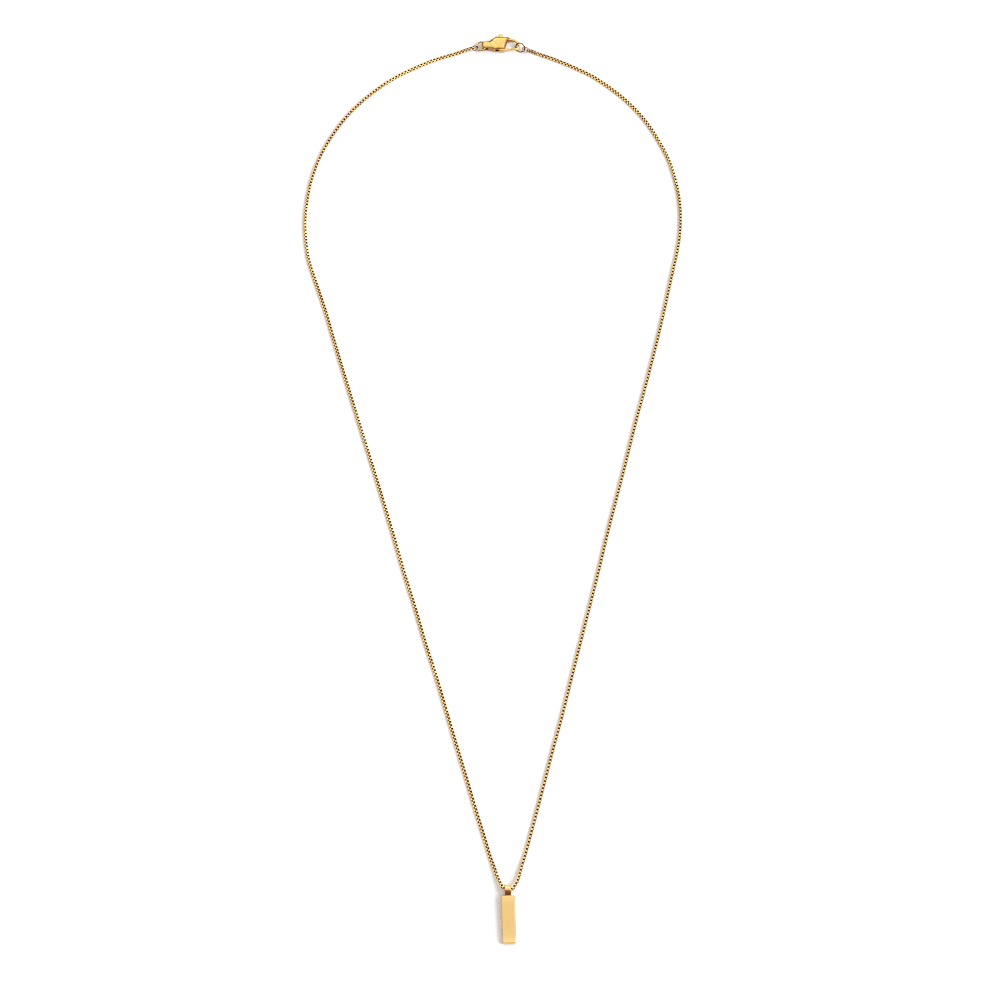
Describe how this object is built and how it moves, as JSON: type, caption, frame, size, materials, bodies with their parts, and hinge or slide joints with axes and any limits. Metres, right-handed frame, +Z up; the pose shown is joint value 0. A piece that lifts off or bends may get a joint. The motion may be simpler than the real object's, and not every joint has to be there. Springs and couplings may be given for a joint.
{
  "type": "bar pendant necklace",
  "caption": "Gold bar pendant with a ring bail on a fine box-link chain, closed with a lever clasp and lying flat in a drop shape.",
  "frame": {"origin": "on the surface that the necklace lies on, under the middle of its whole outline", "axes": "+Y runs from the pendant to the clasp, +Z is up from the surface, +X is to the right as seen from the pendant's end"},
  "size_m": [0.1128, 0.2861, 0.0034],
  "materials": {
    "chain_gold": "polished gold plate on stainless steel",
    "bar_gold": "polished gold plate with softened edges",
    "clasp_gold": "polished gold plate, tumbled",
    "ring_gold": "polished gold-plated wire"
  },
  "bodies": {
    "necklace": {"chain": "chain_gold", "bar_pendant": "bar_gold", "clasp_body": "clasp_gold", "clasp_pin": "clasp_gold", "jump_ring_hook": "ring_gold", "jump_ring_tail": "ring_gold", "end_loop_left": "ring_gold", "end_loop_right": "ring_gold"},
    "lever": {"clasp_lever": "clasp_gold"}
  },
  "joints": [
    {"name": "clasp_lever_hinge", "type": "hinge", "parent": "necklace", "child": "lever", "pos_m": [0.0022, 0.1394, 0.0013], "axis": [0, 0, 1], "range_deg": [0, 28], "stiffness_Nm_per_rad": 0.006, "springref_deg": -11.46}
  ]
}
